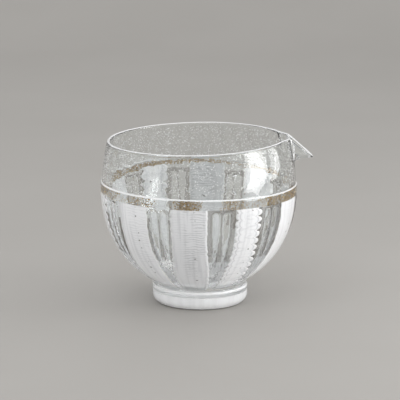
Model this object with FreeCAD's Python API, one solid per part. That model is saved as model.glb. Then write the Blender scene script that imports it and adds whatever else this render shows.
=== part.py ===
import FreeCAD, Part
import math
import os

# A spouted sake pitcher of hand-blown glass, one piece. Millimetres, +Z up, spout along +X.
# The origin is the centre of the foot's resting face. A thin bubble forms the upper wall and
# the inside. A thicker second gather covers its lower three quarters and ends in a ledge.
# A disc of glass is the foot, and the soft rim was pulled out into a drooping spout.

# Overall sizes
RIM_HEIGHT = 84.4          # top of the rim above the table, on the bowl's axis
BELLY_RADIUS = 50.0        # largest outer radius of the bowl
BELLY_HEIGHT = 59.4        # height of that radius above the table
SPOUT_LENGTH = 12.8        # from the rim's outside to the tip of the spout

# Second gather: a squared ellipse below the belly, a plain ellipse above it
GATHER_DROP = 53.0         # from the belly down to the pole of the lower curve
GATHER_POWER = 2.1         # 2 is a plain ellipse, more is squarer
GATHER_RISE = 72.0         # from the belly up to the pole of the upper curve
LEDGE_HEIGHT = 62.4        # top edge of the gather above the table
LEDGE_WIDTH = 0.6          # how far the gather stands out from the thin wall
LEDGE_ROUND = 0.5

# Thin upper wall and the hollow, both leaning a little with the rim
WALL_RISE = 75.0           # from the belly up to the pole of the thin wall's outer curve
LOWER_WALL = 3.0           # wall at the belly
RIM_WALL = 1.9             # wall at the rim
RIM_TILT = 1.25            # degrees that the rim rises towards the spout
RIM_ROUND = 0.6
FLOOR_HEIGHT = 15.0        # lowest point of the inside, above the table
HOLLOW_POWER = 2.3

# Foot: a thick disc, set a little towards the spout
FOOT_RADIUS = 24.2
FOOT_HEIGHT = 10.0         # height of the seam between foot and bowl
FOOT_EDGE = 4.5            # rounding of the lower edge
FOOT_SEAM = 1.0            # rounding of the upper edge, at the seam
FOOT_OFFSET = 0.6          # from the bowl's axis to the foot's axis
NECK_STEP = 0.2            # how far the bowl's bottom stays inside the foot, at the seam
NECK_HEIGHT = 2.4          # from the seam up to where the bowl's own curve begins

# Spout: half an ellipse from above, a wedge from the side, a trough from the front
SPOUT_INSET = 0.6          # from the rim's outside in to where the rim begins to fall
SPOUT_HALF_WIDTH = 6.2     # at its start
SPOUT_FALL = 39.5          # degrees that the pouring edge falls from the rim's plane
SPOUT_DEPTH = 14.0         # from the rim down to the underside, at the start
SPOUT_LIFT = 13.0          # degrees that the underside rises towards the tip
SPOUT_WALL = 1.5
SPOUT_KEEL = 2.8           # rounding of the underside's edge
SPOUT_BLEND = 2.0          # rounding between spout and bowl
SPOUT_BEND = 4.0           # radius of the bend from the level rim to the falling edge

# White bands: they are colour inside the glass, but the clear gaps between them place the flutes
BAND_COUNT = 10
FIRST_BAND = -95.7         # degrees from the spout to the middle of the first band
PLAIN_BAND = 21.3          # degrees that a plain band covers
SCALLOPED_BAND = 17.4      # degrees that a scalloped band covers
SCALLOPED = (1, 3, 6, 8)   # which of the bands are scalloped

# Flutes: a pair of shallow hollows with arched tops in each clear gap
FLUTE_RIDGE = 0.55         # ridge left between the two of a pair, at the belly
FLUTE_CROWN = 57.0         # height of the top of the arch
FLUTE_END = 20.0           # height where the hollow runs out
FLUTE_WIDTH = 4.6
FLUTE_DEPTH = 0.55

CLEAR = 8.0                # how far a cutting shape reaches past what it cuts
SPANS = 7                  # spans in a bowl's interpolated curve

HOLLOW_BELLY = BELLY_RADIUS - LOWER_WALL
THIN_BELLY = BELLY_RADIUS - LEDGE_WIDTH
NECK_RADIUS = FOOT_RADIUS - NECK_STEP
FLUTE_PITCH = math.degrees((FLUTE_WIDTH + FLUTE_RIDGE) / BELLY_RADIUS)
ORIGIN = FreeCAD.Vector(0, 0, 0)
UP = FreeCAD.Vector(0, 0, 1)
ACROSS = FreeCAD.Vector(0, 1, 0)


def at(x, z):
    return FreeCAD.Vector(x, 0, z)


def heading(degrees):
    """Unit vector in the XZ plane, counted up from +X."""
    return at(math.cos(math.radians(degrees)), math.sin(math.radians(degrees)))


def chain(*points):
    """Straight edges from each point to the next."""
    return [Part.LineSegment(a, b).toShape() for a, b in zip(points, points[1:])]


def corner_arc(centre, radius, start, end):
    """Arc edge about a centre, between two headings."""
    points = [centre + heading(a) * radius for a in (start, (start + end) / 2, end)]
    return Part.Arc(*points).toShape()


def turned(edges):
    """Solid of revolution about Z of a closed outline in the XZ plane."""
    return Part.Face(Part.Wire(edges)).revolve(ORIGIN, UP, 360)


def radius_at(height, belly, drop, power, rise):
    """Radius of a bowl's curve at a height."""
    if height < BELLY_HEIGHT:
        share = (BELLY_HEIGHT - height) / drop
        return belly * (1 - share ** power) ** (1 / power)
    share = (height - BELLY_HEIGHT) / rise
    return belly * math.sqrt(1 - share ** 2)


def bowl_curve(low, high, belly, drop, power, rise):
    """Smooth edge along a bowl's curve, with points even in angle, so closer at the poles."""
    last = math.degrees(math.asin((high - BELLY_HEIGHT) / rise))
    first = -math.degrees(math.asin(((BELLY_HEIGHT - low) / drop) ** (power / 2)))
    points = []
    for i in range(SPANS + 1):
        angle = math.radians(first + (last - first) * i / SPANS)
        if angle < 0:
            radius = belly * math.cos(angle) ** (2 / power)
            points.append(at(radius, BELLY_HEIGHT - drop * math.sin(-angle) ** (2 / power)))
        else:
            points.append(at(belly * math.cos(angle), BELLY_HEIGHT + rise * math.sin(angle)))
    spline = Part.BSplineCurve()
    spline.interpolate(points)
    return spline.toShape()


def gather_form():
    return BELLY_RADIUS, GATHER_DROP, GATHER_POWER, GATHER_RISE


def thin_form():
    return THIN_BELLY, GATHER_DROP, GATHER_POWER, WALL_RISE


RIM_RADIUS = radius_at(RIM_HEIGHT, *thin_form())
SPOUT_START = RIM_RADIUS - SPOUT_INSET
SPOUT_REACH = RIM_RADIUS + SPOUT_LENGTH


def hollow_form():
    """The hollow's upper curve is the ellipse that leaves the rim its own wall."""
    rim_inside = RIM_RADIUS - RIM_WALL
    rise = (RIM_HEIGHT - BELLY_HEIGHT) / math.sqrt(1 - (rim_inside / HOLLOW_BELLY) ** 2)
    return HOLLOW_BELLY, BELLY_HEIGHT - FLOOR_HEIGHT, HOLLOW_POWER, rise


def make_gather():
    """Lower gather, solid inside, from the seam up to its rounded ledge."""
    sunk = FOOT_HEIGHT - FOOT_SEAM
    start = FOOT_HEIGHT + NECK_HEIGHT
    turn = LEDGE_HEIGHT - LEDGE_ROUND
    side_end = radius_at(turn, *gather_form())
    below = chain(
        at(0, sunk),
        at(NECK_RADIUS - FOOT_SEAM, sunk),
        at(NECK_RADIUS, FOOT_HEIGHT),
        at(radius_at(start, *gather_form()), start),
    )
    side = bowl_curve(start, turn, *gather_form())
    ledge = corner_arc(at(side_end - LEDGE_ROUND, turn), LEDGE_ROUND, 0, 90)
    lid = chain(at(side_end - LEDGE_ROUND, LEDGE_HEIGHT), at(0, LEDGE_HEIGHT), at(0, sunk))
    return turned(below + [side, ledge] + lid)


def make_thin_wall():
    """Upper bubble, solid inside, from well below the ledge to above the rim."""
    low = min(LEDGE_HEIGHT, BELLY_HEIGHT) - CLEAR
    top = RIM_HEIGHT + CLEAR
    foot = chain(at(0, low), at(radius_at(low, *thin_form()), low))
    lid = chain(at(radius_at(top, *thin_form()), top), at(0, top), at(0, low))
    return turned(foot + [bowl_curve(low, top, *thin_form())] + lid)


def make_hollow():
    """The inside, from the floor to above the rim."""
    top = RIM_HEIGHT + CLEAR
    side = bowl_curve(FLOOR_HEIGHT, top, *hollow_form())
    lid = chain(at(radius_at(top, *hollow_form()), top), at(0, top), at(0, FLOOR_HEIGHT))
    return turned([side] + lid)


def make_tongue(wall):
    """The spout as a block taller than the rim; its channel is the same with a wall taken off."""
    reach = SPOUT_REACH - SPOUT_START - wall
    half = SPOUT_HALF_WIDTH - wall
    back = SPOUT_START - CLEAR
    bottom = RIM_HEIGHT - SPOUT_DEPTH - CLEAR
    ellipse = Part.Ellipse(at(SPOUT_START, bottom), reach, half)
    nose = Part.ArcOfEllipse(ellipse, -math.pi / 2, math.pi / 2).toShape()
    sides = chain(
        at(SPOUT_START, bottom) + ACROSS * half,
        at(back, bottom) + ACROSS * half,
        at(back, bottom) - ACROSS * half,
        at(SPOUT_START, bottom) - ACROSS * half,
    )
    tongue = Part.Face(Part.Wire([nose] + sides)).extrude(UP * (RIM_HEIGHT + CLEAR - bottom))
    corner = FreeCAD.Vector(-SPOUT_REACH, -2 * half, -SPOUT_REACH)
    below = Part.makeBox(2 * SPOUT_REACH, 4 * half, SPOUT_REACH, corner)
    below.rotate(ORIGIN, ACROSS, -SPOUT_LIFT)
    below.translate(at(SPOUT_START, RIM_HEIGHT - SPOUT_DEPTH + wall))
    tongue = tongue.cut(below)
    underside = min(tongue.Faces, key=lambda face: face.CenterOfMass.z)
    keel = [edge for edge in underside.Edges if edge.CenterOfMass.x > back + wall]
    return tongue.makeFillet(SPOUT_KEEL - wall / 2, keel)


def blended(bowl, tongue):
    """Bowl and tongue in one, with a rounded corner between them."""
    body = bowl.fuse(tongue)
    corner = []
    for edge in body.Edges:
        probe = Part.Vertex(edge.valueAt((edge.FirstParameter + edge.LastParameter) / 2))
        gaps = [shape.Shells[0].distToShape(probe)[0] for shape in (bowl, tongue)]
        if max(gaps) < 1e-4 and edge.BoundBox.ZMin < RIM_HEIGHT:
            corner.append(edge)
    return body.makeFillet(SPOUT_BLEND, corner)


def make_rim_cutter():
    """Everything above the level rim, its bend and the spout's falling edge."""
    far = BELLY_RADIUS + CLEAR
    end = SPOUT_REACH + CLEAR
    top = RIM_HEIGHT + 2 * CLEAR
    tangent = SPOUT_BEND * math.tan(math.radians(SPOUT_FALL / 2))
    before = at(SPOUT_START - tangent, RIM_HEIGHT)
    after = at(SPOUT_START, RIM_HEIGHT) + heading(-SPOUT_FALL) * tangent
    bend = corner_arc(before - UP * SPOUT_BEND, SPOUT_BEND, 90, 90 - SPOUT_FALL)
    low_end = at(end, RIM_HEIGHT - (end - SPOUT_START) * math.tan(math.radians(SPOUT_FALL)))
    outline = chain(at(-far, RIM_HEIGHT), before) + [bend]
    outline += chain(after, low_end, at(end, top), at(-far, top), at(-far, RIM_HEIGHT))
    cutter = Part.Face(Part.Wire(outline)).extrude(ACROSS * 2 * far)
    cutter.translate(ACROSS * -far)
    return cutter


def round_rim(body, cutter):
    """Rounds the inner and outer edge of the rim, all the way round and along the spout."""
    cut_faces = []
    for face in body.Faces:
        u_low, u_high, v_low, v_high = face.ParameterRange
        probe = Part.Vertex(face.valueAt((u_low + u_high) / 2, (v_low + v_high) / 2))
        if cutter.Shells[0].distToShape(probe)[0] < 1e-3:
            cut_faces.append(face)
    edges = [edge for face in cut_faces for edge in face.Edges]
    border = [edge for edge in edges if sum(edge.isSame(other) for other in edges) == 1]
    return body.makeFillet(RIM_ROUND, border)


def leaning(shape):
    """Tilts the thin wall or the hollow about the middle of the belly."""
    tilted = shape.copy()
    tilted.rotate(at(0, BELLY_HEIGHT), ACROSS, -RIM_TILT)
    return tilted


def above_ledge(shape):
    """Leaves only what stands on the gather's level top face."""
    side = 2 * (SPOUT_REACH + CLEAR)
    corner = FreeCAD.Vector(-side / 2, -side / 2, LEDGE_HEIGHT - side)
    return shape.cut(Part.makeBox(side, side, side, corner))


def make_flute():
    """Cutter for one flute, towards the spout: a bent rod whose upper end is a ball."""
    cutter_radius = (FLUTE_WIDTH ** 2 / 4 + FLUTE_DEPTH ** 2) / (2 * FLUTE_DEPTH)
    crown = FLUTE_CROWN - FLUTE_WIDTH / 2
    middle = (crown + FLUTE_END) / 2
    path = []
    for height, depth in ((crown, FLUTE_DEPTH), (middle, FLUTE_DEPTH), (FLUTE_END, 0)):
        here = at(radius_at(height, *gather_form()), height)
        along = at(radius_at(height + 0.1, *gather_form()), height + 0.1) - here
        along.normalize()
        path.append(here + at(along.z, -along.x) * (cutter_radius - depth))
    bend = Part.Arc(*path).toShape()
    ring = Part.Circle(path[0], bend.tangentAt(bend.FirstParameter), cutter_radius)
    section = Part.Face(Part.Wire(ring.toShape()))
    turn = math.degrees(bend.LastParameter - bend.FirstParameter)
    rod = section.revolve(bend.Curve.Center, bend.Curve.Axis, turn)
    return rod.fuse(Part.makeSphere(cutter_radius, path[0]))


def band_width(index):
    return SCALLOPED_BAND if index % BAND_COUNT in SCALLOPED else PLAIN_BAND


def flute_angles():
    """A pair of flutes about the middle of each gap between neighbouring bands."""
    pitch = 360 / BAND_COUNT
    angles = []
    for index in range(BAND_COUNT):
        gap_from = FIRST_BAND + index * pitch + band_width(index) / 2
        gap_to = FIRST_BAND + (index + 1) * pitch - band_width(index + 1) / 2
        middle = (gap_from + gap_to) / 2
        angles += [middle - FLUTE_PITCH / 2, middle + FLUTE_PITCH / 2]
    return angles


def make_foot():
    """Solid disc with a well rounded lower edge and a small shoulder at the seam."""
    low = at(FOOT_RADIUS - FOOT_EDGE, FOOT_EDGE)
    high = at(FOOT_RADIUS - FOOT_SEAM, FOOT_HEIGHT - FOOT_SEAM)
    outline = chain(at(0, 0), low - UP * FOOT_EDGE)
    outline.append(corner_arc(low, FOOT_EDGE, -90, 0))
    outline += chain(low + at(FOOT_EDGE, 0), high + at(FOOT_SEAM, 0))
    outline.append(corner_arc(high, FOOT_SEAM, 0, 90))
    outline += chain(high + UP * FOOT_SEAM, at(0, FOOT_HEIGHT), at(0, 0))
    return turned(outline)


def make_pitcher():
    inside = blended(make_hollow(), make_tongue(SPOUT_WALL))
    rim_cutter = make_rim_cutter()
    upper = blended(make_thin_wall(), make_tongue(0)).cut(rim_cutter).cut(inside)
    upper = above_ledge(leaning(round_rim(upper, rim_cutter)))
    lower = make_gather().cut(leaning(make_hollow()))
    flutes = []
    for angle in flute_angles():
        flute = make_flute()
        flute.rotate(ORIGIN, UP, angle)
        flutes.append(flute)
    bowl = lower.cut(flutes).fuse(upper)
    bowl.translate(at(-FOOT_OFFSET, 0))
    return bowl.fuse(make_foot()).removeSplitter().Solids[0]


os.makedirs("parts", exist_ok=True)
make_pitcher().exportStep("parts/pitcher.step")
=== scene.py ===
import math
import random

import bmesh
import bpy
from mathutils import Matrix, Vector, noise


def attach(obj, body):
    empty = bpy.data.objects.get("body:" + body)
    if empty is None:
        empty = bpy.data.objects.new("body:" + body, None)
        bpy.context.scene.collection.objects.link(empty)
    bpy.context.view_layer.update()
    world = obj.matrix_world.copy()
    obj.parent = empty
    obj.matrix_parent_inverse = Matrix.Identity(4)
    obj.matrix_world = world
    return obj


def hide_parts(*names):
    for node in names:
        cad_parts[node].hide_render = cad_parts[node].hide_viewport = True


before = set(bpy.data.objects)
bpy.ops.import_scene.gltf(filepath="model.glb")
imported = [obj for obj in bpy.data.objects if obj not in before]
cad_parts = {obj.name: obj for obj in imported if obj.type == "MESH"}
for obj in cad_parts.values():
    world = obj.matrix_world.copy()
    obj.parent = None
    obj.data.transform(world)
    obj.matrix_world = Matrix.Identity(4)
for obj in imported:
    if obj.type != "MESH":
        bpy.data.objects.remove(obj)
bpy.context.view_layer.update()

# %% [markdown]
# # A spouted sake pitcher of blown glass
# The pitcher is one piece of clear glass with white bands, flecks of gold and tiny bubbles
# inside it. We build the glass first, because everything else lies in its wall, then the
# bands, the gold and the bubbles, and last the table, the lights and the camera.
# Blender works in metres, so every size below is in millimetres times MM.

MM = 0.001

# %% [markdown]
# ## The curve of the bowl
# A blown bowl is never a plain ball. Below the belly its outline is a squared ellipse, fuller
# than a circle, and above the belly it closes in slowly towards the rim. One small function
# gives the radius at any height, and three sets of numbers make it the outside of the thick
# lower gather, the outside of the thin upper wall and the inside.

# %% Radius at a height
RIM_HEIGHT = 84.4
LEDGE_HEIGHT = 62.4        # top edge of the thick lower gather
BELLY_HEIGHT = 59.4        # where the bowl is widest
FLOOR_HEIGHT = 15.0
BOWL_SHIFT = -0.6          # the bowl's axis from the foot's axis, which is the origin
BELLY_RADIUS, THIN_BELLY, INSIDE_BELLY = 50.0, 49.4, 47.0
BELLY_DROP = 53.0          # how far below the belly the outer curve would meet the axis
OUTSIDE_POWER, INSIDE_POWER = 2.1, 2.3     # 2 is an ellipse, and more is squarer


def swell(z, belly, drop, power, rise):
    """A bowl's radius at a height. Drop and power shape it below the belly, rise above it."""
    if z < BELLY_HEIGHT:
        share = min(1.0, (BELLY_HEIGHT - z) / drop)
        return belly * (1 - share ** power) ** (1 / power)
    return belly * math.sqrt(1 - ((z - BELLY_HEIGHT) / rise) ** 2)


def gather_radius(z):
    return swell(z, BELLY_RADIUS, BELLY_DROP, OUTSIDE_POWER, rise=72.0)


def thin_radius(z):
    return swell(z, THIN_BELLY, BELLY_DROP, OUTSIDE_POWER, rise=75.0)


def inside_radius(z):
    return swell(z, INSIDE_BELLY, BELLY_HEIGHT - FLOOR_HEIGHT, INSIDE_POWER, rise=81.0)


print("wall (mm) at belly", round(gather_radius(BELLY_HEIGHT) - inside_radius(BELLY_HEIGHT), 2),
      "and at rim", round(thin_radius(RIM_HEIGHT) - inside_radius(RIM_HEIGHT), 2))

# %% [markdown]
# ## The outline of the glass
# The glass is a closed body of revolution, so its outline runs from the middle of the foot's
# underside, up the outside, over the rim and down the inside to the middle of the floor.
# Points lie closer where the glass bends: at the foot's edge, the seam, the ledge and the rim.

# %% Arcs and even steps
def arc_points(centre, radius, start, end, count):
    """Points on an arc in the outline's plane, from one angle in degrees to another."""
    angles = [math.radians(start + (end - start) * i / count) for i in range(count + 1)]
    return [(centre[0] + radius * math.cos(a), centre[1] + radius * math.sin(a)) for a in angles]


def steps(low, high, size):
    """Even steps from one value to another, each about as long as size."""
    count = max(1, round(abs(high - low) / size))
    return [low + (high - low) * i / count for i in range(count + 1)]


# %% The outside, in millimetres
RESTING_RINGS = (0.0, 5.0, 10.0, 15.0, 18.0)
FOOT_RADIUS, FOOT_HEIGHT, FOOT_EDGE, SEAM_ROUND = 24.2, 10.0, 4.5, 1.0
FOOT_ROWS = (5.6, 6.6, 7.3, 7.9, 8.4)
NECK_RADIUS, NECK_LOW, NECK_TOP = 24.0, 10.5, 12.4
CROWN_LOW, CROWN_HIGH = 48.0, 58.0         # the flutes' arched tops, where rows are closest
LEDGE_ROUND = 0.55
THIN_MIDDLE = 70.0                         # above it the spout needs closer rows
RIM_START = RIM_HEIGHT - 1.0               # the walls turn into the round rim here

outline = [(r, 0.0) for r in RESTING_RINGS]
outline += arc_points((FOOT_RADIUS - FOOT_EDGE, FOOT_EDGE), FOOT_EDGE, -90, 0, 9)
outline += [(FOOT_RADIUS, z) for z in FOOT_ROWS]
outline += arc_points((FOOT_RADIUS - SEAM_ROUND, FOOT_HEIGHT - SEAM_ROUND), SEAM_ROUND, 0, 65, 5)
outline += [(NECK_RADIUS - 0.35, FOOT_HEIGHT + 0.1), (NECK_RADIUS, NECK_LOW)]
for share in (0.35, 0.7):
    widened = NECK_RADIUS + (gather_radius(NECK_TOP) - NECK_RADIUS) * share
    outline.append((widened, NECK_LOW + (NECK_TOP - NECK_LOW) * share))

ledge_low = LEDGE_HEIGHT - LEDGE_ROUND
rows = steps(NECK_TOP, CROWN_LOW, 1.3) + steps(CROWN_LOW, CROWN_HIGH, 0.45)[1:]
rows += steps(CROWN_HIGH, ledge_low, 0.8)[1:]
outline += [(gather_radius(z), z) for z in rows]
outline += arc_points((gather_radius(ledge_low) - LEDGE_ROUND, ledge_low), LEDGE_ROUND, 15, 90, 5)
rows = [LEDGE_HEIGHT + 0.25] + steps(LEDGE_HEIGHT + 0.75, THIN_MIDDLE, 1.4)
rows += steps(THIN_MIDDLE, RIM_START, 0.8)[1:]
outline += [(thin_radius(z), z) for z in rows]
print("points on the outside", len(outline))

# %% The rim and the inside
FLOOR_CURVE_TOP = 24.0                     # below it the inside turns in to the floor

rim_out, rim_in = thin_radius(RIM_START), inside_radius(RIM_START)
rim_round = (rim_out - rim_in) / 2
outline += arc_points(((rim_out + rim_in) / 2, RIM_HEIGHT - rim_round), rim_round, 0, 180, 8)[1:-1]
rows = steps(RIM_START, THIN_MIDDLE, 0.8) + steps(THIN_MIDDLE, FLOOR_CURVE_TOP, 1.8)[1:]
outline += [(inside_radius(z), z) for z in rows]

floor_drop = BELLY_HEIGHT - FLOOR_HEIGHT
curve_start = math.asin(((BELLY_HEIGHT - FLOOR_CURVE_TOP) / floor_drop) ** (INSIDE_POWER / 2))
for degrees in steps(math.degrees(curve_start), 90.0, 3.6)[1:]:
    c, s = max(math.cos(math.radians(degrees)), 0.0), math.sin(math.radians(degrees))
    outline.append((INSIDE_BELLY * c ** (2 / INSIDE_POWER),
                    BELLY_HEIGHT - floor_drop * s ** (2 / INSIDE_POWER)))
outline[-1] = (0.0, FLOOR_HEIGHT)
print("outline points", len(outline))

# %% [markdown]
# ## Where the bands and flutes go
# Ten white bands stand round the bowl, a plain one and a scalloped one in turn, except for two
# pairs of plain ones, one behind and one in front. The clear gaps between them hold two flutes
# each. Towards the foot the bowl gets narrower faster than the bands do, so they close up.
# Angles are in degrees from the spout, which points along +X.

# %% A soft step
def ramp(x, low, high):
    """0 before low, 1 after high, and a smooth rise between them."""
    t = min(1.0, max(0.0, (x - low) / (high - low)))
    return t * t * (3 - 2 * t)


# %% Bands and gaps
BAND_COUNT = 10
BAND_PITCH = 360.0 / BAND_COUNT
FIRST_BAND = -95.7
PLAIN_WIDTH, SCALLOP_WIDTH = 21.3, 17.4
SCALLOPED = (1, 3, 6, 8)
PLAIN = tuple(i for i in range(BAND_COUNT) if i not in SCALLOPED)
CLOSING, CLOSING_TOP, CLOSING_DROP = 0.41, 42.0, 30.0
FLUTE_PITCH = 6.1


def band_middle(index):
    return FIRST_BAND + index * BAND_PITCH


def band_width(index):
    return SCALLOP_WIDTH if index % BAND_COUNT in SCALLOPED else PLAIN_WIDTH


def band_edge(index, z):
    """Half a band's width in degrees, which grows towards the narrow foot."""
    return band_width(index) / 2 * (1 + CLOSING * ramp(CLOSING_TOP - z, 0.0, CLOSING_DROP))


def turned_from(middle, angle):
    """The angle from a middle, between -180 and 180 degrees."""
    return (angle - middle + 180) % 360 - 180


gaps = []
for i in range(BAND_COUNT):
    gaps.append((band_middle(i) + band_width(i) / 2, band_middle(i + 1) - band_width(i + 1) / 2))
flutes = [(a + b) / 2 + side * FLUTE_PITCH / 2 for a, b in gaps for side in (-1, 1)]
print("gaps", len(gaps), "flutes", len(flutes))

# %% [markdown]
# ## Spinning the outline
# `bmesh.ops.spin` turns the outline about the axis. Flutes and the spout need fine columns
# and the bands between them don't, so we spin in sectors, each with its own number of steps.
# Merging doubles closes the seam and the two poles.

# %% Spin the glass
PLAIN_COLUMNS, GAP_COLUMNS, SPOUT_COLUMNS = 12, 34, 36
SPOUT_BAND = 3             # this band's sector holds a part of the spout


def spun_outline(points):
    bm = bmesh.new()
    verts = [bm.verts.new((r * MM, 0, z * MM)) for r, z in points]
    edges = [bm.edges.new(pair) for pair in zip(verts, verts[1:])]
    start = Matrix.Rotation(math.radians(gaps[-1][1]), 3, "Z")
    bmesh.ops.rotate(bm, verts=verts, cent=(0, 0, 0), matrix=start)
    geom = verts + edges
    for index, (gap_start, gap_end) in enumerate(gaps):
        columns = SPOUT_COLUMNS if index == SPOUT_BAND else PLAIN_COLUMNS
        for angle, count in ((band_width(index), columns), (gap_end - gap_start, GAP_COLUMNS)):
            geom = bmesh.ops.spin(bm, geom=geom, cent=(0, 0, 0), axis=(0, 0, 1), dvec=(0, 0, 0),
                                  angle=math.radians(angle), steps=count)["geom_last"]
    bmesh.ops.remove_doubles(bm, verts=bm.verts, dist=1e-7)
    bmesh.ops.recalc_face_normals(bm, faces=bm.faces)
    return bm


glass = spun_outline(outline)
print("glass faces", len(glass.faces))

# %% [markdown]
# ## Where white is painted on the glass
# A rounded edge of glass gathers light and reads as a white line, so these edges get a painted
# highlight: the rim, the ledge, the joint above the foot and the crease beside the spout. The
# foot is thick, so its side gets painted light, and its underside is ground matt, so it looks
# pale too. We could paint a mask, but a material slot for each kind of face is simpler, and
# we choose them now, while the outline is still an easy body of revolution to measure.

# %% Choose the faces with painted light, the ground face and the thick glass
CLEAR_SLOT, GROUND_SLOT, HIGHLIGHT_SLOT, GAP_SHADE_SLOT, NOTCH_SHADE_SLOT, THICK_SLOT, PAINTED_FOOT_LIGHT_SLOT = range(7)
# between the first two heights the foot's side gets painted light
RESTING_TOP, PAINTED_FOOT_LIGHT_TOP, THICK_TOP = 1.0, 6.6, 10.4
# the joint above the foot gets a painted highlight between these two heights
JOINT_HIGHLIGHT_LOW, JOINT_HIGHLIGHT_HIGH = 8.5, 9.6
THICK_FLOOR_TOP, THICK_FLOOR_RADIUS = 24.0, 22.0
# how far down the rim, the spout's near lip and its far lip get a painted highlight, in mm
RIM_HIGHLIGHT, NEAR_LIP_HIGHLIGHT, FAR_LIP_HIGHLIGHT = 0.42, 0.62, 0.08
# the crease beside the spout gets a painted highlight
CREASE_LOW, CREASE_NEAR, CREASE_FAR = 74.0, 6.2, 6.6
LEDGE_INSIDE = 47.6


def rim_highlight(y, angle):
    """How far the painted highlight reaches down from the top of the rim."""
    if abs(angle) > 9:
        return RIM_HIGHLIGHT
    return FAR_LIP_HIGHLIGHT if y > 0 else NEAR_LIP_HIGHLIGHT


def on_ledge_highlight(radius, angle, z):
    """Whether a face lies in the ledge's painted highlight, which is broader at the left."""
    below = 0.92 if -178 < angle < -108 else 0.22
    above = 0.7 if angle > 110 else 0.3
    return radius > LEDGE_INSIDE and -below < z - LEDGE_HEIGHT < above


def ground_and_painted_light_slot(x, y, z):
    """The slot of a face by its middle, measured before any point moves."""
    radius, angle = math.hypot(x, y), math.degrees(math.atan2(y, x))
    on_crease_highlight = (z > CREASE_LOW and x > 0 and CREASE_NEAR < -y < CREASE_FAR
                 and radius > thin_radius(z) - 0.5)
    if z < RESTING_TOP:
        return GROUND_SLOT
    if z < PAINTED_FOOT_LIGHT_TOP:
        return PAINTED_FOOT_LIGHT_SLOT
    if z > RIM_HEIGHT - rim_highlight(y, angle) or on_crease_highlight or on_ledge_highlight(radius, angle, z):
        return HIGHLIGHT_SLOT
    if JOINT_HIGHLIGHT_LOW < z < JOINT_HIGHLIGHT_HIGH:
        return HIGHLIGHT_SLOT
    if z < THICK_TOP or (z < THICK_FLOOR_TOP and radius < THICK_FLOOR_RADIUS):
        return THICK_SLOT
    return CLEAR_SLOT


for face in glass.faces:
    face.material_index = ground_and_painted_light_slot(*(face.calc_center_median() / MM))
print("pale faces", sum(face.material_index != CLEAR_SLOT for face in glass.faces))

# %% [markdown]
# ## What the glassblower did to it
# The hand shows in six places. The rim tilts up towards the spout and the ledge tilts down.
# The rim is pinched in on both sides of the spout. Between the white bands lie pairs of
# shallow flutes with arched tops. The rim was pulled out into a spout that droops. And the
# whole wall has slow, shallow waves. Each is a small function that moves a point, so the spun
# mesh can stay simple.

# %% Tilt and pinch
RIM_SLOPE, LEDGE_SLOPE = 0.0212, -0.0145
PINCH = 2.2


def tilt_rise(x, z):
    """How far a point rises when the rim tilts up and the ledge tilts down towards +X."""
    ledge = LEDGE_SLOPE * ramp(z, 46.0, 61.0) * (1 - ramp(z, 64.0, 72.0))
    rim = RIM_SLOPE * ramp(z, 66.0, 82.0)
    return (ledge + rim) * x


def pinch(angle, z):
    """How far the rim is pressed in beside the spout."""
    beside = ramp(angle, 7.0, 20.0) * (1 - ramp(angle, 36.0, 85.0))
    return PINCH * beside * ramp(z, 66.0, 84.0)


# %% Flutes
FLUTE_WIDTH, FLUTE_DEPTH, FLUTE_EDGE = 5.6, 0.8, 1.0
FLUTE_CROWN, FLUTE_END = 57.0, 22.0
FLUTE_TIP, FLUTE_TAPER = 0.22, 24.0        # the tip's share of the width, and where it ends


def flute_depth(angle, z):
    """Depth of the flutes' hollows at an angle in degrees and a height."""
    if z > FLUTE_CROWN or z < FLUTE_END:
        return 0.0
    width_share = FLUTE_TIP + (1 - FLUTE_TIP) * min(1.0, (z - FLUTE_END) / FLUTE_TAPER)
    half = FLUTE_WIDTH / 2 * width_share
    nearest = min(abs(turned_from(flute, angle)) for flute in flutes)
    across = math.radians(nearest) * gather_radius(z) / half
    up = max(0.0, z - (FLUTE_CROWN - half)) / half
    inwards = (1 - math.hypot(across, up)) * half
    return FLUTE_DEPTH * ramp(inwards, 0.0, FLUTE_EDGE) * ramp(z, FLUTE_END, 30.0)


# %% The spout's pull
SPOUT_HALF_WIDTH, SPOUT_WALL = 6.5, 1.3
SPOUT_PULL, SPOUT_DROOP, SPOUT_DEPTH = 11.3, 9.6, 13.2
SPOUT_TOP = RIM_HEIGHT + 1.0
ROOT_SOFTNESS = 0.1        # rounds the bend where the spout leaves the wall
KEEL_ROUNDNESS = 0.75      # 1 is a parabola from above, and less is blunter


def pulled(x, y, z, s):
    """Moves a point of the rim's front outwards and down. s is 0 outside and 1 inside."""
    half = SPOUT_HALF_WIDTH - SPOUT_WALL * s
    if x < 0 or abs(y) >= half:
        return x, z
    root = SPOUT_TOP - SPOUT_DEPTH + 1.1 * s
    t = min(1.0, max(0.0, (z - root) / (SPOUT_TOP - 1.2 - root)))
    t = math.hypot(t, ROOT_SOFTNESS) - ROOT_SOFTNESS
    t /= math.hypot(1, ROOT_SOFTNESS) - ROOT_SOFTNESS
    k = (1 - (y / half) ** 2) ** KEEL_ROUNDNESS
    return x + SPOUT_PULL * t * k, z - SPOUT_DROOP * t * k


# %% Move a point of the glass
WAVE_DEPTH, WAVE_LEVEL = 0.10, 0.75        # the level keeps the waves inside the CAD box
WAVE_ROUND, WAVE_UP = 0.06, 0.035          # noise cells per mm, round the bowl and up it


def wall_share(radius, z):
    """0 on the outside of the wall and 1 on its inside."""
    if z <= FLOOR_HEIGHT:
        return 0.0
    outer = gather_radius(z)
    return min(1.0, max(0.0, (outer - radius) / max(outer - inside_radius(z), 0.1)))


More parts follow.
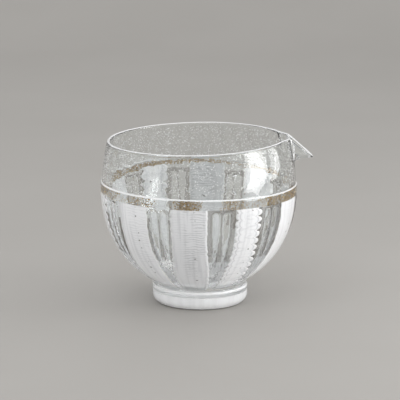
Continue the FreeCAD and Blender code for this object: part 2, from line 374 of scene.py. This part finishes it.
def shaped(co):
    """Where the glassblower's hand moves a point of the spun glass to."""
    x, y, z = (c / MM for c in co)
    radius, angle = math.hypot(x, y), math.degrees(math.atan2(y, x))
    s = wall_share(radius, z)
    if radius > 1 and z > 12:
        push = flute_depth(angle, z) if s < 0.3 else 0.0
        place = Vector((x * WAVE_ROUND, y * WAVE_ROUND, z * WAVE_UP + 7 * round(s)))
        wave = WAVE_DEPTH * (noise.noise(place) + WAVE_LEVEL)
        new_radius = radius - push - pinch(abs(angle), z) - wave * ramp(z, 14, 24)
        x, y = x * new_radius / radius, y * new_radius / radius
    z += tilt_rise(x, z)
    if z > 60:
        x, z = pulled(x, y, z, s)
    x += BOWL_SHIFT * ramp(z, 8.5, 12.0)
    return Vector((x, y, z)) * MM


# %% [markdown]
# ## Glass with painted shade
# Where a flute's side slopes, or a scalloped edge throws its shadow into the wall, the glass
# reads as a darker stripe. Those faces get a slot of dark-tinted glass, which is painted shade.
# At the left the wall turns away from the eye and only the narrow ridges between the flutes
# get this painted shade. This too is measured before the points move.

# %% Choose the faces with painted shade, then move the points
PAINTED_SHADE_LOW, PAINTED_SHADE_HIGH = 29.0, 57.7
NOTCH_REACH, NOTCH_GAP = 3.2, 0.3          # degrees in from a scalloped band's edge


def painted_shade_slot(x, y, z):
    """The slot of the glass with painted shade that a face belongs to, if any."""
    if not PAINTED_SHADE_LOW < z < PAINTED_SHADE_HIGH or math.hypot(x, y) < gather_radius(z) - 1:
        return None
    angle = math.degrees(math.atan2(y, x))
    for index in SCALLOPED:
        inwards = band_edge(index, z) - turned_from(band_middle(index), angle)
        if NOTCH_GAP < inwards < NOTCH_REACH:
            return NOTCH_SHADE_SLOT
    under_band = any(abs(turned_from(band_middle(index), angle)) < band_edge(index, z) - 0.5
                     for index in range(BAND_COUNT))
    depth = flute_depth(angle, z) / FLUTE_DEPTH
    if under_band or depth > 0.8:
        return None
    if angle < -140:
        return NOTCH_SHADE_SLOT if depth < 0.12 and z < 50 else None
    if angle < -105:
        return GAP_SHADE_SLOT if depth < 0.35 and z < 52 else None
    return GAP_SHADE_SLOT


for face in glass.faces:
    slot = painted_shade_slot(*(face.calc_center_median() / MM))
    if slot is not None:
        face.material_index = slot
for vert in glass.verts:
    vert.co = shaped(vert.co)
print("painted shade faces", sum(face.material_index in (GAP_SHADE_SLOT, NOTCH_SHADE_SLOT) for face in glass.faces))

# %% [markdown]
# ## From a bmesh to an object
# A bmesh is only a workbench. To be seen, its mesh goes into an object, and the object into the
# scene. Every piece of the pitcher is fused to the same body, so one helper lets each of them
# ride on it. The vessel also stands for the plain CAD model.

# %% Make it an object
def as_object(bm, name, *materials):
    """Turns a bmesh into a smooth-shaded object in the scene."""
    for face in bm.faces:
        face.smooth = True
    mesh = bpy.data.meshes.new(name)
    bm.to_mesh(mesh)
    bm.free()
    made = bpy.data.objects.new(name, mesh)
    bpy.context.scene.collection.objects.link(made)
    for material in materials:
        mesh.materials.append(material)
    print(name, "faces", len(mesh.polygons))
    return made


def add_piece(bm, name, *materials):
    """Makes a piece of the pitcher, which rides on its one body."""
    piece = as_object(bm, name, *materials)
    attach(piece, "root")
    return piece


vessel = add_piece(glass, "glass_vessel")
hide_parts("pitcher")

# %% [markdown]
# ## A helper for materials
# A pattern with many nodes is hard to read as a list of links. This small class adds a node,
# fills its sockets with numbers or with other nodes' outputs, and gives back the output, so a
# pattern reads like a sum.

# %% Node helpers
class Wires:
    """A material under construction: adds nodes, sets their sockets and links them."""

    def __init__(self, name):
        self.material = bpy.data.materials.new(name)
        self.material.use_nodes = True
        self.nodes = self.material.node_tree.nodes
        self.shader = self.nodes["Principled BSDF"]

    def feed(self, socket, value):
        if isinstance(value, bpy.types.NodeSocket):
            self.material.node_tree.links.new(value, socket)
        else:
            socket.default_value = value

    def fill(self, node, **sockets):
        for socket, value in sockets.items():
            self.feed(node.inputs[socket.replace("_", " ")], value)
        return node

    def add(self, kind, **sockets):
        return self.fill(self.nodes.new("ShaderNode" + kind), **sockets)

    def place(self):
        return self.add("TexCoord").outputs["Object"]

    def sum(self, operation, *values):
        node = self.nodes.new("ShaderNodeMath")
        node.operation = operation
        for socket, value in zip(node.inputs, values):
            self.feed(socket, value)
        return node.outputs[0]

    def between(self, value, low, high, to_low=0.0, to_high=1.0):
        """A soft step: to_low where the value is below low, to_high where it is above high."""
        node = self.nodes.new("ShaderNodeMapRange")
        node.interpolation_type = "SMOOTHSTEP"
        for socket, number in zip(node.inputs, (value, low, high, to_low, to_high)):
            self.feed(socket, number)
        return node.outputs[0]

    def line(self, value, middle, narrow, wide, strength=1.0):
        """A soft line: full within narrow of the middle and nothing beyond wide."""
        off = self.sum("ABSOLUTE", self.sum("SUBTRACT", value, middle))
        return self.between(off, narrow, wide, strength, 0.0)

    def pattern(self, vector, scale, detail=2.0, distortion=0.0):
        placed = self.add("Mapping", Vector=vector, Scale=scale)
        node = self.add("TexNoise", Vector=placed.outputs[0], Scale=1.0, Detail=detail,
                        Distortion=distortion)
        return node.outputs["Fac"]

    def tones(self, value, low, high, dark, pale):
        """A colour from dark to pale, as the value goes from low to high."""
        node = self.add("ValToRGB", Fac=value)
        for stop, position, colour in zip(node.color_ramp.elements, (low, high), (dark, pale)):
            stop.position = position
            stop.color = colour
        return node.outputs["Color"]

    def mix(self, share, first, second, blend="MIX"):
        node = self.nodes.new("ShaderNodeMix")
        node.data_type, node.blend_type = "RGBA", blend
        return self.fill(node, Factor=share, A=first, B=second).outputs["Result"]


def even(value):
    """The same number along three axes or in three colour channels."""
    return (value, value, value)


print("node helpers", [name for name in vars(Wires) if not name.startswith("_")])

# %% [markdown]
# ## Clear glass
# Clear glass takes its look from refraction: transmission of 1, no roughness and an index of
# refraction of 1.5. Blown glass is never quite even, so its tint has faint clouds and its
# surface a very fine ripple. Lamps can't sample through refracting walls, so for shadow rays
# alone we swap it for a slightly grey transparent shader. The gold and the bands inside the
# wall are then lit cleanly.

# %% Clear glass
CLOUD_SCALE, RIPPLE_SCALE = 35.0, 170.0    # noise cells per metre
RIPPLE_HEIGHT = 0.12 * MM


def clear_glass(name, tint, shade=0.9):
    w = Wires(name)
    clouds = w.pattern(w.place(), even(CLOUD_SCALE))
    ripple = w.pattern(w.place(), even(RIPPLE_SCALE), detail=1.0)
    bump = w.add("Bump", Height=ripple, Strength=1.0, Distance=RIPPLE_HEIGHT)
    deeper = tuple(0.985 * c for c in tint)
    w.fill(w.shader, Roughness=0.0, IOR=1.5, Transmission_Weight=1.0,
           Base_Color=w.tones(clouds, 0.4, 0.6, deeper + (1,), tint + (1,)),
           Normal=bump.outputs["Normal"])
    lets_through = w.add("BsdfTransparent", Color=even(shade) + (1,))
    either = w.add("MixShader", Fac=w.add("LightPath").outputs["Is Shadow Ray"])
    w.feed(either.inputs[1], w.shader.outputs["BSDF"])
    w.feed(either.inputs[2], lets_through.outputs["BSDF"])
    w.feed(w.nodes["Material Output"].inputs["Surface"], either.outputs["Shader"])
    return w.material


# %% [markdown]
# ## Glass with painted light, and ground glass
# A white line of glass is really light caught in a rounded edge. Tracing it costs many bounces,
# so the edges are part clear and part white instead, a painted highlight with soft upright
# streaks, and the foot's side is painted the same way as painted light. The resting
# face of the foot was ground matt, and fine rays run out from its middle.

# %% Glass with painted light, and ground glass
PAINTED_LIGHT_WHITE = (0.96, 0.965, 0.97)
GROUND_PALE, GROUND_DARK = (0.98, 0.985, 0.99, 1), (0.82, 0.825, 0.83, 1)
GROUND_RAYS = 90.0


def painted_light_glass(name, through, streaks, fineness):
    """Glass partly painted white as painted light. Through is its clear share, and fineness is
    streaks per metre.
    """
    w = Wires(name)
    grain = w.pattern(w.place(), (fineness, fineness, 30.0), detail=3.0)
    darker = tuple(c - streaks for c in PAINTED_LIGHT_WHITE)
    w.fill(w.shader, Roughness=0.06, IOR=1.5, Transmission_Weight=through,
           Base_Color=w.tones(grain, 0.35, 0.6, darker + (1,), PAINTED_LIGHT_WHITE + (1,)))
    return w.material


def ground_glass():
    w = Wires("ground_foot")
    gradient = w.add("TexGradient", Vector=w.place())
    gradient.gradient_type = "RADIAL"
    rays = w.pattern(gradient.outputs["Fac"], (GROUND_RAYS, 1.0, 1.0), detail=3.0)
    w.fill(w.shader, Roughness=0.6,
           Base_Color=w.tones(rays, 0.35, 0.6, GROUND_DARK, GROUND_PALE))
    return w.material


# %% [markdown]
# ## Seven finishes for one vessel
# The vessel's faces already carry slot numbers, so the finishes only have to be added in the
# same order. Thick glass in the foot lets all light through, because it would otherwise shade
# itself twice. The white on the foot's side is painted light, standing in for the light that
# such a lump of glass collects.

# %% Fill the vessel's slots
finishes = {
    CLEAR_SLOT: clear_glass("clear_glass", (0.97, 0.985, 0.98)),
    GROUND_SLOT: ground_glass(),
    # painted highlight: part-white glass on the rim, the ledge, the joint and the crease
    HIGHLIGHT_SLOT: painted_light_glass("painted_highlight_glass", through=0.3, streaks=0.05, fineness=260.0),
    # painted shade: dark tint in the gaps beside the flutes
    GAP_SHADE_SLOT: clear_glass("gap_painted_shade_glass", (0.42, 0.40, 0.375)),
    # painted shade: darker tint beside the scallops' notches and on the left ridges
    NOTCH_SHADE_SLOT: clear_glass("notch_painted_shade_glass", (0.17, 0.155, 0.14)),
    THICK_SLOT: clear_glass("thick_glass", (0.98, 0.99, 0.985), shade=1.0),
    # painted light: part-white glass on the foot's side
    PAINTED_FOOT_LIGHT_SLOT: painted_light_glass("foot_painted_light", through=0.40, streaks=0.09, fineness=300.0),
}
for slot in sorted(finishes):
    vessel.data.materials.append(finishes[slot])
print("finishes", [material.name for material in vessel.data.materials])

# %% [markdown]
# ## The path of a white band
# The bands are ribbons of opaque white cane, picked up on the hot bubble and blown out with
# it, so each one follows the bowl from the joint at the foot up to just below the ledge. The
# gold takes the space above them, and it is wider in front than behind. A band could be cut
# out of the bowl's mesh, but a grid laid along a path keeps straight rows, which the pattern
# on the cane needs later. The path holds a radius, a height and the length walked so far.

# %% Bands: where they run
GOLD_TOP = 62.0
GOLD_WIDTH, GOLD_NARROWING = 4.6, 2.9      # in front, and how much narrower it gets behind
JOINT_RADIUS, JOINT_HEIGHT = 20.0, 10.8    # where a band starts, inside the joint
JOINT_WIDENS, JOINT_RISES = 3.0, 1.0       # its way from there to the outside of the neck
ROW_STEP = 0.28


def gold_height(angle):
    """Height of the gold band above the white ones: narrow behind, wide in front."""
    behind = ramp(math.sin(angle), -0.2, 0.75)
    left = ramp(-math.cos(angle), 0.2, 0.9)
    return GOLD_WIDTH - GOLD_NARROWING * behind * (1 - 0.55 * left)


def climb(top):
    """Radius, height and length along the wall, from the foot's joint to the top of a band."""
    rows = [(JOINT_RADIUS + JOINT_WIDENS * share, JOINT_HEIGHT + JOINT_RISES * share)
            for share in (0.0, 0.25, 0.5, 0.75)]
    rows += [(gather_radius(z), z) for z in steps(NECK_TOP, top, ROW_STEP)]
    path, length = [], 0.0
    for i, (r, z) in enumerate(rows):
        length += math.hypot(r - rows[i - 1][0], z - rows[i - 1][1]) if i else 0.0
        path.append((r, z, length))
    return path


front_path = climb(GOLD_TOP - gold_height(math.radians(FIRST_BAND)))
print("points along the front band", len(front_path), "length (mm)", round(front_path[-1][2], 1))

# %% [markdown]
# ## Laying a grid along the path
# `bmesh.ops.create_grid` gives a flat sheet from -1 to 1. We read each point's column as the
# place across the band and its row as a step along the path, and wrap it round the bowl. The
# same `shaped` function that bent the glass bends the band, so the two always fit. Four of the
# bands have scalloped sides: the edge moves in and out by the length walked. Each point also
# gets a UV with the band's number and the length, for the cane's pattern. Solidify then gives
# the ribbon its thickness, into the wall.

# %% Make a band
PROUD, BAND_THICKNESS = 0.03, 0.5
SCALLOP_PITCH, SCALLOP_DEPTH = 3.9, 2.3
LEFT_DEPTH, LEFT_SHIFT = 0.6, 1.3          # the left row of lobes is shallower and out of step
RAGGED = 0.5
CANE_UNIT = 50.0


def scallop(distance):
    """A row of round lobes with sharp notches between them, from 0 to 1."""
    u = (distance / SCALLOP_PITCH) % 1.0
    return math.sqrt(max(0.0, 1 - (2.3 * u - 1.15) ** 2))


def half_width(index, across, r, z, length):
    """Half a band's width in degrees at one point, with its lobes and its ragged edge."""
    edge = band_edge(index, z)
    if index in SCALLOPED:
        depth = SCALLOP_DEPTH * (LEFT_DEPTH if across < 0 else 1.0)
        lobe = depth * (scallop(length + (LEFT_SHIFT if across < 0 else 0)) - 1)
        edge += math.degrees(lobe / r)
    ragged = RAGGED * noise.noise(Vector((length * 0.5, index * 5.3, 9.0 * round(across))))
    return edge + math.degrees(ragged / r) * abs(across)


def make_band(bm, index):
    middle = band_middle(index)
    path = climb(GOLD_TOP - gold_height(math.radians(middle)))
    grid = bmesh.ops.create_grid(bm, x_segments=10, y_segments=len(path) - 1, size=1.0)["verts"]
    uv_layer = bm.loops.layers.uv.verify()
    for vert in grid:
        across = vert.co.x
        row = round((vert.co.y + 1) / 2 * (len(path) - 1))
        r, z, length = path[row]
        angle = math.radians(middle + half_width(index, across, r, z, length) * across)
        for loop in vert.link_loops:
            loop[uv_layer].uv = (index + across / 2 + 0.5, length / CANE_UNIT)
        r += PROUD
        vert.co = shaped(Vector((r * math.cos(angle), r * math.sin(angle), z)) * MM)
    bmesh.ops.recalc_face_normals(bm, faces=bm.faces)
    if bm.faces[:][0].normal.dot(bm.faces[:][0].calc_center_median()) < 0:
        bmesh.ops.reverse_faces(bm, faces=bm.faces)
    bmesh.ops.solidify(bm, geom=bm.faces[:], thickness=-BAND_THICKNESS * MM)
    bmesh.ops.recalc_face_normals(bm, faces=bm.faces)


# %% Join bands into one piece
def pour(part, whole):
    """Adds one bmesh to another and frees it."""
    lot = bpy.data.meshes.new("lot")
    part.to_mesh(lot)
    part.free()
    whole.from_mesh(lot)
    bpy.data.meshes.remove(lot)


def make_bands(indices, name, material):
    joined = bmesh.new()
    for index in indices:
        band = bmesh.new()
        make_band(band, index)
        pour(band, joined)
    add_piece(joined, name, material)


# %% [markdown]
# ## White cane
# Opaque white glass isn't plain white. It was pulled, so it has soft streaks along it, hair
# lines across it where it folded, a few long bubbles in a row, and a brighter border where
# the band's edge is thicker. The scalloped bands have ribs beside their lobes. All of it
# reads the band's own UV: X is the band's number plus the place across, and Y is the length
# in units of 50 mm. Some subsurface scattering gives the milky depth. Each band is darkened
# by a tone of its own, which is painted shade for how the light falls on it, and every band
# is brightened towards the foot as painted light.

# %% The painted shade of each band
BAND_SHADE_TONES = (0.80, 0.98, 0.95, 0.98, 0.96, 0.78, 0.96, 0.90, 0.94, 0.90)
# the hair lines are real; on the two darkest bands they are stronger, as painted shade
FOLD_AND_SHADE_STRENGTHS = (0.65, 0.3, 0.3, 0.3, 0.3, 0.7, 0.3, 0.3, 0.3, 0.3)


def by_band(w, band, values):
    """A number for each band, chosen by the band's number in the UV."""
    node = w.add("ValToRGB", Fac=w.sum("DIVIDE", band, float(BAND_COUNT)))
    stops = node.color_ramp
    stops.interpolation = "CONSTANT"
    stops.elements.remove(stops.elements[1])
    for index, value in enumerate(values):
        stop = stops.elements[0] if index == 0 else stops.elements.new(index / BAND_COUNT)
        stop.color = even(value) + (1,)
    return node.outputs["Color"]


# %% Folds, ribs and bubbles in the cane
CANE_WHITE, CANE_GREY = (0.86, 0.865, 0.875, 1), (0.50, 0.505, 0.52, 1)
CANE_BORDER, CANE_BUBBLE = (0.93, 0.935, 0.94, 1), (0.16, 0.15, 0.14, 1)
FOLD_PITCH, BUBBLE_PITCH = 1.35, 4.3       # mm along the band
BUBBLE_ROW = 0.64                          # share of the band's width


def folded(w, uv, across, along, strength, colour):
    """Hair lines across a plain band, fainter at its left side, near the foot and in patches."""
    patches = w.between(w.pattern(uv, (3.0, 6.0, 1.0)), 0.34, 0.56)
    side = w.between(across, 0.28, 0.42, 0.25, 1.0)
    near_foot = w.between(along, 12.0, 26.0, 0.15, 1.0)
    sway = w.sum("MULTIPLY", w.pattern(uv, (2.6, 9.0, 1.0), detail=3.0), 2.6)
    beat = w.sum("FRACT", w.sum("ADD", w.sum("DIVIDE", along, FOLD_PITCH), sway))
    amount = w.sum("MULTIPLY", w.sum("MULTIPLY", patches, side),
                   w.sum("MULTIPLY", near_foot, strength))
    return w.mix(w.sum("MULTIPLY", w.line(beat, 0.5, 0.08, 0.24), amount), colour, CANE_GREY)


def ribbed(w, uv, off_middle, colour):
    """A rib beside each row of lobes, and faint strokes across a scalloped band."""
    colour = w.mix(w.line(off_middle, 0.70, 0.02, 0.09, 0.5), colour, CANE_GREY)
    strokes = w.pattern(uv, (1.9, 34.0, 1.0), detail=4.0, distortion=0.5)
    return w.mix(w.between(strokes, 0.40, 0.47, 0.3, 0.0), colour, CANE_GREY)


def bubbled(w, uv, across, along, colour):
    """Some long bubbles in a row."""
    beat = w.sum("FRACT", w.sum("DIVIDE", along, BUBBLE_PITCH))
    dash = w.sum("MULTIPLY", w.line(across, BUBBLE_ROW, 0.02, 0.05), w.line(beat, 0.5, 0.05, 0.1))
    chance = w.between(w.pattern(uv, (7.3, 9.1, 1.0)), 0.52, 0.6)
    return w.mix(w.sum("MULTIPLY", dash, chance), colour, CANE_BUBBLE)


# %% White cane
def white_cane(name, scalloped):
    w = Wires(name)
    uv = w.add("UVMap").outputs["UV"]
    parts = w.add("SeparateXYZ", Vector=uv).outputs
    across = w.sum("FRACT", parts["X"])
    along = w.sum("MULTIPLY", parts["Y"], CANE_UNIT)
    off_middle = w.sum("ABSOLUTE", w.sum("MULTIPLY_ADD", across, 2.0, -1.0))

    streaks = w.pattern(uv, (9.0, 1.4, 1.0), detail=3.0)
    colour = w.mix(w.between(streaks, 0.45, 0.7, 0.0, 0.35), CANE_WHITE, CANE_GREY)
    if scalloped:
        colour = ribbed(w, uv, off_middle, colour)
    else:
        strength = by_band(w, parts["X"], FOLD_AND_SHADE_STRENGTHS)
        colour = folded(w, uv, across, along, strength, colour)
    colour = bubbled(w, uv, across, along, colour)
    colour = w.mix(w.between(off_middle, 0.88, 0.94), colour, CANE_BORDER)
    # painted light: up to 1.16 times brighter towards the foot, where little light reaches the
    # band; the cane is also denser there
    painted_light_low = w.between(along, 6.0, 36.0, 1.16, 1.0)
    # painted shade: each band's tone darkens it by how the light falls on it
    painted_shade_tone = w.sum("MULTIPLY", by_band(w, parts["X"], BAND_SHADE_TONES), painted_light_low)
    w.fill(w.shader, Roughness=0.08, Subsurface_Weight=0.6, Subsurface_Radius=even(1.0),
           Subsurface_Scale=1.5 * MM, Base_Color=w.mix(1.0, colour, painted_shade_tone, blend="MULTIPLY"))
    return w.material


# %% Dress the bowl with its bands
make_bands(PLAIN, "plain_bands", white_cane("plain_cane", False))
make_bands(SCALLOPED, "scalloped_bands", white_cane("scalloped_cane", True))

# %% [markdown]
# ## Thousands of small things
# Gold flecks and bubbles number in the thousands. Instances would be light, but real mesh is
# what the piece should keep, so each kind becomes one mesh. Adding to a big bmesh gets slow,
# so the helper works in lots of 150 and joins them. A seeded generator makes every run alike.

# %% Scatter helper
LOT_SIZE = 150


def scatter(name, count, seed, make_one, material):
    """Makes many small things as one piece. The seed fixes every random draw."""
    rng = random.Random(seed)
    whole = bmesh.new()
    for start in range(0, count, LOT_SIZE):
        bm = bmesh.new()
        for _ in range(min(LOT_SIZE, count - start)):
            make_one(bm, rng)
        pour(bm, whole)
    add_piece(whole, name, material)


def placed(radius, angle, z):
    """A place in the wall, with the bowl's shift and tilt."""
    x = radius * math.cos(angle)
    return Vector((x + BOWL_SHIFT, radius * math.sin(angle), z + tilt_rise(x, z))) * MM


# %% [markdown]
# ## Gold leaf
# The hot bubble was rolled over gold leaf, which tore into flecks as the glass was blown. A
# fleck is a small circle with four to six corners, each moved at random, turned to lie along
# the wall, tipped a little, and solidified to a thin plate. Noise round the bowl makes the
# flecks gather in clumps and leave bare places between them.

# %% Gold flecks
FLAKE_SIZES = (0.09, 0.13, 0.18, 0.26)
FLAKE_THICKNESS = 0.02
FLAKE_TIP = 0.3            # radians


def clumping(angle):
    """How likely a fleck is at an angle, from the noise round the bowl."""
    return 0.45 + 1.3 * noise.noise(Vector((math.cos(angle) * 4, math.sin(angle) * 4, 3.0)))


def make_flake(bm, rng):
    angle = rng.uniform(0, math.tau)
    while clumping(angle) < rng.random():
        angle = rng.uniform(0, math.tau)
    z = GOLD_TOP - 0.1 - gold_height(angle) * rng.random()
    size = rng.choice(FLAKE_SIZES) * rng.uniform(0.8, 1.4)
    corners = rng.choice((4, 5, 6))
    flake = bmesh.ops.create_circle(bm, cap_ends=True, radius=size * MM, segments=corners)["verts"]
    for vert in flake:
        vert.co *= rng.uniform(0.6, 1.3)
    flat = Matrix.Rotation(math.pi / 2, 4, "Y")
    tip = Matrix.Rotation(rng.gauss(0, FLAKE_TIP), 4, "X")
    tip = tip @ Matrix.Rotation(rng.gauss(0, FLAKE_TIP), 4, "Y")
    turn = Matrix.Rotation(rng.uniform(0, math.tau), 4, "Z")
    place = Matrix.Translation(placed(gather_radius(z) - rng.uniform(0.2, 0.8), angle, z))
    outwards = Matrix.Rotation(angle, 4, "Z")
    bmesh.ops.transform(bm, matrix=place @ outwards @ flat @ tip @ turn, verts=flake)
    faces = list({face for vert in flake for face in vert.link_faces})
    bmesh.ops.solidify(bm, geom=faces, thickness=FLAKE_THICKNESS * MM)


# %% Gold finish
GOLD_BROWN, GOLD_PALE = (0.30, 0.18, 0.06, 1), (0.82, 0.62, 0.29, 1)


def gold_material():
    """Metal whose tone and gloss change from fleck to fleck, from brown to pale gold."""
    w = Wires("gold_leaf")
    spots = w.pattern(w.place(), even(2200.0))
    w.fill(w.shader, Metallic=1.0,
           Base_Color=w.mix(w.between(spots, 0.38, 0.62), GOLD_BROWN, GOLD_PALE),
           Roughness=w.between(spots, 0.3, 0.7, 0.5, 0.2))
    return w.material


scatter("gold_leaf", 9500, 4, make_flake, gold_material())

# %% [markdown]
# ## Seed bubbles
# The thin wall is full of tiny bubbles. A real bubble is a hole that turns light back, so it
# reads as a white dot. Modelled as a hole inside refracting glass it would need many bounces
# for every dot. A small white ball in the middle of the wall, its white a painted highlight,
# looks the same and is cheap. The plainest icosphere has 20 faces, enough for something a
# quarter of a millimetre across. Some bubbles lie deeper in the wall, and noise paints their
# white less bright in patches.

# %% Bubble finish
def bubble_highlight_material():
    w = Wires("seed_bubble")
    # painted highlight: noise sets the white between 0.86 and 1 in patches
    depth = w.between(w.pattern(w.place(), even(700.0)), 0.35, 0.6)
    w.fill(w.shader, Roughness=0.2, Base_Color=w.mix(depth, even(0.86) + (1,), even(1.0) + (1,)))
    return w.material


# %% Seed bubbles
BUBBLE_SIZES = (0.12, 0.16, 0.21, 0.28)
BUBBLES_LOW, BUBBLES_HIGH = 63.5, 82.5
CLEAR_OF_SPOUT = 10        # degrees on each side that stay free


def add_ball(bm, size, place):
    ball = bmesh.ops.create_icosphere(bm, subdivisions=1, radius=size * MM)["verts"]
    bmesh.ops.translate(bm, verts=ball, vec=place)


def make_bubble(bm, rng):
    z = rng.uniform(BUBBLES_LOW, BUBBLES_HIGH)
    angle = rng.uniform(math.radians(CLEAR_OF_SPOUT), math.radians(360 - CLEAR_OF_SPOUT))
    size = rng.choice(BUBBLE_SIZES) * rng.uniform(0.8, 1.3)
    wall = thin_radius(z) - inside_radius(z)
    off_spout = math.degrees(min(angle, math.tau - angle))
    radius = inside_radius(z) + wall * rng.uniform(0.3, 0.7) - pinch(off_spout, z) - 0.06
    add_ball(bm, size, placed(radius, angle, z))


bubble_highlight_finish = bubble_highlight_material()
scatter("seed_bubbles", 4600, 11, make_bubble, bubble_highlight_finish)

# %% [markdown]
# ## A cluster of caught bubbles
# Where the front band meets the gap at its left, some air was caught at the foot of a flute. It
# sparkles as one bright patch. The bubbles are larger and less even than the seeds, and they
# crowd round one place, so a bell curve spreads them instead of an even draw.

# %% Caught bubbles
CLUSTER_HEIGHT, CLUSTER_ANGLE = 28.0, -112.8
CLUSTER_TALL, CLUSTER_WIDE = 1.4, 2.2      # the spread, in mm and in degrees


def make_caught_bubble(bm, rng):
    z = rng.gauss(CLUSTER_HEIGHT, CLUSTER_TALL)
    angle = math.radians(rng.gauss(CLUSTER_ANGLE, CLUSTER_WIDE))
    size = rng.uniform(0.15, 0.45)
    add_ball(bm, size, placed(gather_radius(z) - 0.1 - 0.4 * size, angle, z))


# the caught bubbles' sparkle is the same painted white highlight
scatter("caught_bubbles", 120, 5, make_caught_bubble, bubble_highlight_finish)

# %% [markdown]
# ## The table
# A plain pale floor that curves up at the back gives clear glass something even to refract.
# White lines of glass need a tone behind them that is darker than white, so the floor looks a
# warm grey. It sends a little more light up to the bands than it shows to the eye, to the
# glass and to reflections, as a studio's white card would.

# %% Floor shape
FLOOR_DROP = 0.05 * MM     # keeps the floor just clear of the foot


def make_floor(material):
    """A sheet 8 m wide that starts behind the camera and bends up behind the pitcher."""
    bm = bmesh.new()
    bmesh.ops.create_grid(bm, x_segments=1, y_segments=1, size=1.0)
    for vert in bm.verts:
        vert.co = Vector((vert.co.x * 4, vert.co.y * 2.0 - 1.2, -FLOOR_DROP))
    back = [vert for vert in bm.verts if vert.co.y > 0]
    edge = [edge for edge in bm.edges if all(vert in back for vert in edge.verts)]
    bmesh.ops.spin(bm, geom=edge + back, cent=(0, 0.8, 0.6), axis=(1, 0, 0), dvec=(0, 0, 0),
                   angle=math.radians(85), steps=24)
    return as_object(bm, "floor", material)


# %% Floor finish
FLOOR_DARK, FLOOR_PALE = (0.355, 0.34, 0.32, 1), (0.365, 0.35, 0.33, 1)
FLOOR_BOUNCE = (0.50, 0.49, 0.48, 1)


def floor_material():
    w = Wires("pale_floor")
    grain = w.between(w.pattern(w.place(), even(9.0)), 0.3, 0.7)
    path = w.add("LightPath").outputs
    by_eye = w.sum("ADD", path["Is Camera Ray"], path["Is Glossy Ray"])
    by_eye = w.sum("MINIMUM", w.sum("ADD", by_eye, path["Is Transmission Ray"]), 1.0)
    seen = w.mix(grain, FLOOR_DARK, FLOOR_PALE)
    w.fill(w.shader, Roughness=0.6, Base_Color=w.mix(by_eye, FLOOR_BOUNCE, seen))
    return w.material


floor = make_floor(floor_material())

# %% [markdown]
# ## Soft light with a window in it
# Glass shows what stands around it. A pale world lights everything evenly, and two leaning
# panels at the right draw the bright patch and the narrower streak that a window leaves on
# the upper wall. They lean because the pinched rim bends their reflections upright again. A
# wide, weak panel from the front left keeps that side from going flat. The panels themselves
# stay out of the picture.

# %% Lights
def facing(place, target):
    """A matrix that stands at a place and looks at a target, as lamps and cameras do."""
    turn = (Vector(target) - Vector(place)).to_track_quat("-Z", "Y").to_matrix().to_4x4()
    return Matrix.Translation(place) @ turn


def area_light(name, place, target, size, glow, roll=0.0):
    """A panel whose own face is as bright as glow. Size is its width and height in metres."""
    data = bpy.data.lights.new(name, "AREA")
    data.shape = "RECTANGLE"
    data.size, data.size_y = size
    data.energy = glow * math.pi * size[0] * size[1]
    lamp = bpy.data.objects.new(name, data)
    bpy.context.scene.collection.objects.link(lamp)
    lamp.matrix_world = facing(place, target) @ Matrix.Rotation(math.radians(roll), 4, "Z")
    lamp.visible_camera = False
    print(name, "panel (mm)", [round(side / MM) for side in size])


area_light("window", (0.46, -0.170, 0.088), (0, -0.170, 0.088), (0.150, 0.40), 7.0, roll=-46)
area_light("window_far", (0.46, 0.12, 0.120), (0, 0.12, 0.120), (0.045, 0.25), 4.5, roll=-70)
area_light("fill", (-0.35, -0.9, 1.1), (0, 0, 0.05), (0.9, 0.9), 1.6)

# %% The pale room
world = bpy.data.worlds.new("studio")
bpy.context.scene.world = world
world.use_nodes = True
sky = world.node_tree.nodes["Background"]
sky.inputs["Color"].default_value = (0.99, 0.995, 1.0, 1)
sky.inputs["Strength"].default_value = 1.0
print("room strength", sky.inputs["Strength"].default_value)

# %% [markdown]
# ## Camera
# A long lens from more than a metre away keeps the ellipses of the rim and the foot calm, as
# in a catalogue picture. It looks at the middle of the pitcher from 12 degrees above the
# table, square to the spout.

# %% Camera
ELEVATION = math.radians(12.05)
DISTANCE = 1271.5 * MM
target = Vector((0.0, 0.0, 52.3 * MM))
stand = target + Vector((0, -math.cos(ELEVATION), math.sin(ELEVATION))) * DISTANCE

camera_data = bpy.data.cameras.new("camera")
camera_data.lens = 225.0
camera_data.sensor_width = 36.0
camera_data.clip_start = 0.01
camera = bpy.data.objects.new("camera", camera_data)
bpy.context.scene.collection.objects.link(camera)
camera.matrix_world = facing(stand, target)
bpy.context.scene.camera = camera
print("camera stands (mm)", [round(value / MM) for value in stand])

# %% [markdown]
# ## Last settings
# Light crosses many walls of glass here, so it needs more bounces than the default of 12.

# %% Bounces
BOUNCES = 32
scene = bpy.context.scene
scene.view_settings.view_transform = "Standard"
scene.cycles.transmission_bounces = BOUNCES
scene.cycles.max_bounces = BOUNCES
scene.cycles.transparent_max_bounces = BOUNCES
